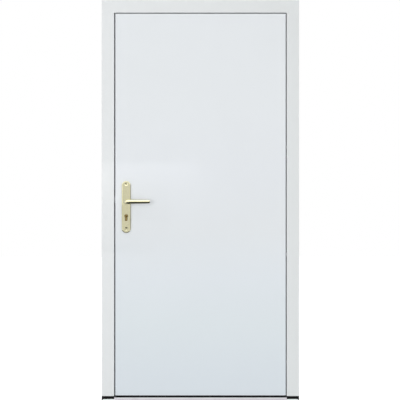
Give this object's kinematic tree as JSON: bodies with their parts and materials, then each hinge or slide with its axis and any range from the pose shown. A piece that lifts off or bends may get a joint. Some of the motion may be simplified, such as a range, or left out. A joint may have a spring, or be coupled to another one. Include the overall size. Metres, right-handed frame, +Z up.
{
  "type": "utility door",
  "caption": "Flush white steel door in a mitred frame with a ribbed threshold; pale gold lever handles, a mortise lock with latch and dead bolt, and hinges on the inner side.",
  "frame": {"origin": "on the floor, under the middle of the threshold's underside", "axes": "+Z up, +X towards the hinge side, +Y inwards; the outer face with the lever on the left looks along -Y"},
  "size_m": [0.99, 0.1732, 2.005],
  "materials": {
    "frame_white": "white powder coat",
    "leaf_white": "white powder coat on steel sheet",
    "hinge_white": "white powder coat",
    "threshold_grey": "anodised",
    "bright_steel": "zinc plated",
    "black_plastic": "moulded",
    "packer_plastic": "moulded",
    "black_rubber": "soft",
    "core_filling": "light filling",
    "cylinder_brass": "satin",
    "handle_gold": "pale gold anodised"
  },
  "bodies": {
    "frame": {"jamb_latch_side": "frame_white", "jamb_hinge_side": "frame_white", "frame_head": "frame_white", "threshold": "threshold_grey", "strike_plate": "bright_steel", "jamb_shoe_latch_side": "black_plastic", "jamb_shoe_hinge_side": "black_plastic", "packer_latch_side": "packer_plastic", "packer_hinge_side": "packer_plastic", "frame_seal_latch_side": "black_rubber", "frame_seal_hinge_side": "black_rubber", "frame_seal_head": "black_rubber", "hinge_frame_part_upper": "hinge_white", "hinge_frame_part_lower": "hinge_white", "hinge_pin_upper": "bright_steel", "hinge_pin_lower": "bright_steel"},
    "leaf": {"leaf_outer_skin": "leaf_white", "leaf_inner_skin": "leaf_white", "leaf_core": "core_filling", "leaf_bottom_seal": "black_rubber", "security_pins": "bright_steel", "lock_forend": "bright_steel", "lock_case": "bright_steel", "lock_cylinder": "cylinder_brass", "handle_plate_outside": "handle_gold", "handle_plate_inside": "handle_gold", "plate_bolts": "handle_gold", "hinge_leaf_part_upper": "hinge_white", "hinge_leaf_part_lower": "hinge_white"},
    "lever": {"lever_outside": "handle_gold", "lever_inside": "handle_gold", "lever_spindle": "bright_steel"},
    "latch": {"latch_bolt": "bright_steel"},
    "key_plug": {"key_plug": "cylinder_brass"},
    "dead_bolt": {"dead_bolt": "bright_steel"}
  },
  "joints": [
    {"name": "leaf_swing", "type": "hinge", "parent": "frame", "child": "leaf", "pos_m": [0.449, 0.033, 0.98], "axis": [0, 0, -1], "range_deg": [0, 110]},
    {"name": "lever_turn", "type": "hinge", "parent": "leaf", "child": "lever", "pos_m": [-0.3715, 0, 0.995], "axis": [0, 1, 0], "range_deg": [0, 40], "stiffness_Nm_per_rad": 1, "springref_deg": -17.19},
    {"name": "latch_slide", "type": "slide", "parent": "leaf", "child": "latch", "axis": [1, 0, 0], "range_m": [0, 0.013]},
    {"name": "key_turn", "type": "hinge", "parent": "leaf", "child": "key_plug", "pos_m": [-0.3715, 0, 0.923], "axis": [0, -1, 0], "range_deg": [0, 360]},
    {"name": "dead_bolt_slide", "type": "slide", "parent": "leaf", "child": "dead_bolt", "axis": [-1, 0, 0], "range_m": [0, 0.02]}
  ],
  "couplings": [
    {"joint": "latch_slide", "follows": "lever_turn", "m_per_rad": 0.0186},
    {"joint": "key_turn", "follows": "dead_bolt_slide", "rad_per_m": 314.15}
  ]
}
